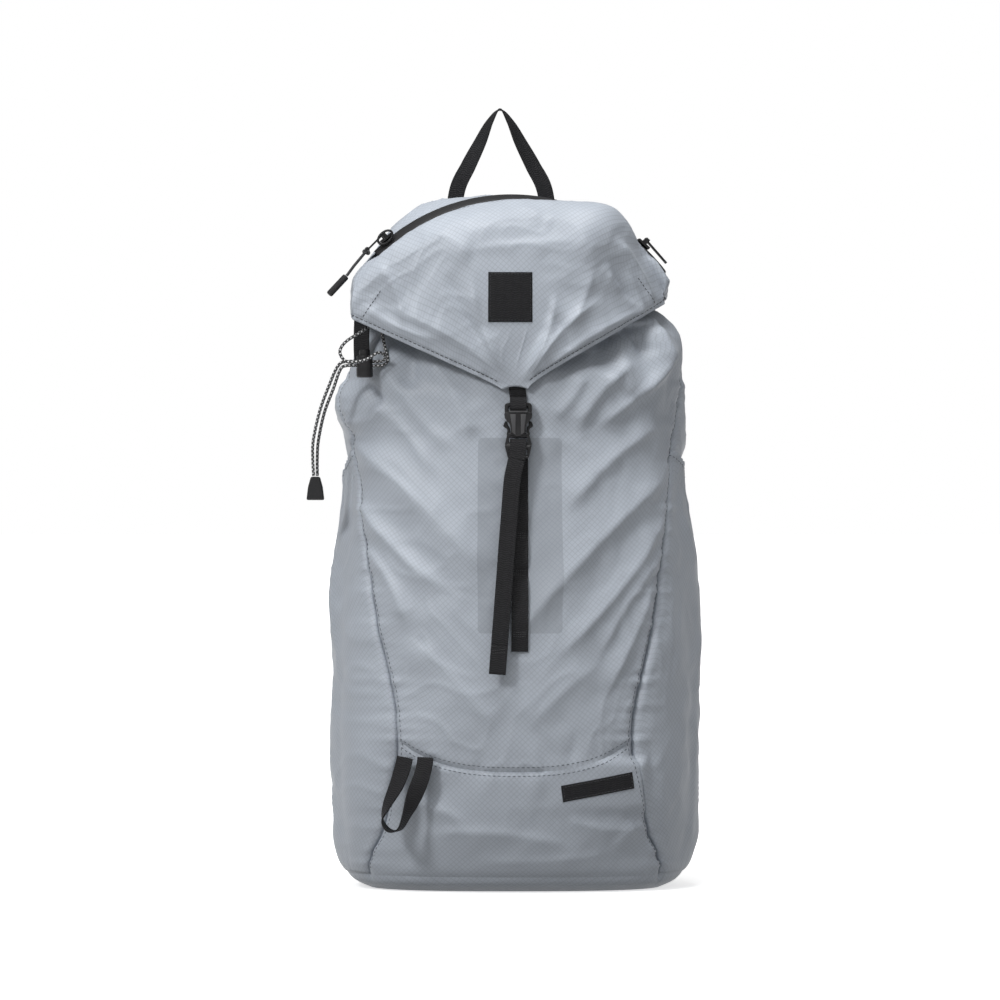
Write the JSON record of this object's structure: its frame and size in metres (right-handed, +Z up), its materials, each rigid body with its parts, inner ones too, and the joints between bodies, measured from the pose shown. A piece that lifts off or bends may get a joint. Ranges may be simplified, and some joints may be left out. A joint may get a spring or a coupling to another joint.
{
  "type": "daypack",
  "caption": "Small top-lid daypack: drawcord collar under a domed lid with a zipped pocket, webbing and buckle closure, side pockets and padded shoulder straps.",
  "frame": {"origin": "middle of the flat base on the floor, under the pack's body", "axes": "+Z up, the front faces -Y, +X is to the right seen from the front"},
  "size_m": [0.3037, 0.2591, 0.6088],
  "materials": {
    "ripstop": "pale grey coated ripstop",
    "lining": "grey lining",
    "webbing": "black ribbed webbing",
    "air_mesh": "black padded mesh",
    "cord": "black braided cord with pale flecks",
    "zip_coating": "coated coil zip",
    "plastic": "moulded black",
    "spring": "wire"
  },
  "bodies": {
    "pack": {"back_pad": "air_mesh", "back_panel": "ripstop", "base_panel": "ripstop", "base_tab_left": "webbing", "base_tab_right": "webbing", "collar": "ripstop", "cord_end": "plastic", "daisy_chain": "webbing", "drawcord_front": "cord", "drawcord_rear": "cord", "front_panel": "ripstop", "hem_drawcord": "cord", "hem_label": "webbing", "lid_anchor_strap_left": "webbing", "lid_anchor_strap_right": "webbing", "lower_front_panel": "ripstop", "lower_webbing_left": "webbing", "lower_webbing_right": "webbing", "reinforcement_patch": "lining", "side_panel_left": "ripstop", "side_panel_right": "ripstop", "side_pocket_left": "ripstop", "side_pocket_right": "ripstop"},
    "lid": {"lid_front_panel": "ripstop", "lid_rear_panel": "ripstop", "zipper_tape": "zip_coating", "lid_lining": "lining", "label_patch": "webbing", "lid_strap": "webbing", "buckle_female": "plastic"},
    "haul_loop": {"haul_loop": "webbing"},
    "slider_left": {"zipper_slider_left": "plastic"},
    "slider_right": {"zipper_slider_right": "plastic"},
    "pull_left": {"pull_tab_left": "plastic", "pull_cord_left": "cord", "pull_tip_left": "plastic"},
    "pull_right": {"pull_tab_right": "plastic"},
    "plug": {"buckle_male": "plastic", "plug_webbing": "webbing"},
    "prong_right": {"buckle_prong_right": "plastic"},
    "prong_left": {"buckle_prong_left": "plastic"},
    "strap_tail": {"closure_strap_tail": "webbing"},
    "gear_loop": {"gear_loop": "webbing"},
    "cord_lock": {"cord_lock_body": "plastic", "cord_lock_spring": "spring"},
    "plunger": {"cord_lock_plunger": "plastic"},
    "shoulder_left": {"shoulder_strap_left": "air_mesh", "strap_adjuster_left": "plastic", "webbing_tail_left": "webbing"},
    "chest_slider_left": {"sternum_slider_left": "plastic"},
    "chest_left": {"sternum_webbing_left": "webbing", "sternum_buckle_left": "plastic"},
    "shoulder_right": {"shoulder_strap_right": "air_mesh", "strap_adjuster_right": "plastic", "webbing_tail_right": "webbing"},
    "chest_slider_right": {"sternum_slider_right": "plastic"},
    "chest_right": {"sternum_webbing_right": "webbing", "sternum_buckle_right": "plastic"}
  },
  "joints": [
    {"name": "lid_hinge", "type": "hinge", "parent": "pack", "child": "lid", "pos_m": [0, 0.086, 0.457], "axis": [-1, 0, 0], "range_deg": [0, 100]},
    {"name": "haul_loop_fold", "type": "hinge", "parent": "lid", "child": "haul_loop", "pos_m": [-0.0105, 0.0906, 0.464], "axis": [-1, 0, 0], "range_deg": [0, 15]},
    {"name": "zip_left", "type": "hinge", "parent": "lid", "child": "slider_left", "pos_m": [-0.0015, -0.048, 0.38], "axis": [0.1736, -0.9848, 0], "range_deg": [-34, 6]},
    {"name": "zip_right", "type": "hinge", "parent": "lid", "child": "slider_right", "pos_m": [-0.0015, -0.048, 0.38], "axis": [0.1736, -0.9848, 0], "range_deg": [-3, 34]},
    {"name": "pull_left_swing", "type": "hinge", "parent": "slider_left", "child": "pull_left", "pos_m": [-0.10068, -0.06549, 0.50045], "axis": [0.1736, -0.9848, 0], "range_deg": [-100, 0]},
    {"name": "pull_right_swing", "type": "hinge", "parent": "slider_right", "child": "pull_right", "pos_m": [0.10095, -0.02993, 0.49759], "axis": [0.1736, -0.9848, 0], "range_deg": [0, 100]},
    {"name": "buckle_release", "type": "slide", "parent": "pack", "child": "plug", "axis": [0, -0.1219, -0.9925], "range_m": [0, 0.025]},
    {"name": "prong_right_press", "type": "hinge", "parent": "plug", "child": "prong_right", "pos_m": [0.0092, -0.09495, 0.3504], "axis": [0, -0.9925, 0.1219], "range_deg": [0, 5], "stiffness_Nm_per_rad": 0.02},
    {"name": "prong_left_press", "type": "hinge", "parent": "plug", "child": "prong_left", "pos_m": [-0.0046, -0.09495, 0.3504], "axis": [0, 0.9925, -0.1219], "range_deg": [0, 5], "stiffness_Nm_per_rad": 0.02},
    {"name": "strap_tail_swing", "type": "hinge", "parent": "plug", "child": "strap_tail", "pos_m": [0.0009, -0.10261, 0.32826], "axis": [-1, 0, 0], "range_deg": [0, 60]},
    {"name": "gear_loop_swing", "type": "hinge", "parent": "pack", "child": "gear_loop", "pos_m": [-0.075, -0.09593, 0.104], "axis": [-0.9628, 0.2704, 0], "range_deg": [0, 70]},
    {"name": "cord_lock_slide", "type": "slide", "parent": "pack", "child": "cord_lock", "axis": [-1, 0, 0], "range_m": [0, 0.006]},
    {"name": "plunger_press", "type": "slide", "parent": "cord_lock", "child": "plunger", "axis": [0, 0, -1], "range_m": [0, 0.002], "stiffness_N_per_m": 1500, "springref_m": -0.0008, "deforming": ["cord_lock_spring"]},
    {"name": "shoulder_left_swing", "type": "hinge", "parent": "pack", "child": "shoulder_left", "pos_m": [0, 0.084, 0.44], "axis": [1, 0, 0], "range_deg": [0, 12]},
    {"name": "chest_slider_left_slide", "type": "slide", "parent": "shoulder_left", "child": "chest_slider_left", "axis": [-0.1949, 0.1096, -0.9747], "range_m": [-0.012, 0.012]},
    {"name": "chest_left_swing", "type": "hinge", "parent": "chest_slider_left", "child": "chest_left", "pos_m": [-0.0625, 0.1409, 0.338], "axis": [1, 0, 0], "range_deg": [0, 60]},
    {"name": "shoulder_right_swing", "type": "hinge", "parent": "pack", "child": "shoulder_right", "pos_m": [0, 0.084, 0.44], "axis": [1, 0, 0], "range_deg": [0, 12]},
    {"name": "chest_slider_right_slide", "type": "slide", "parent": "shoulder_right", "child": "chest_slider_right", "axis": [0.1949, 0.1096, -0.9747], "range_m": [-0.012, 0.012]},
    {"name": "chest_right_swing", "type": "hinge", "parent": "chest_slider_right", "child": "chest_right", "pos_m": [0.0625, 0.1409, 0.338], "axis": [1, 0, 0], "range_deg": [0, 60]}
  ],
  "couplings": [
    {"joint": "prong_left_press", "follows": "prong_right_press", "ratio": 1}
  ]
}
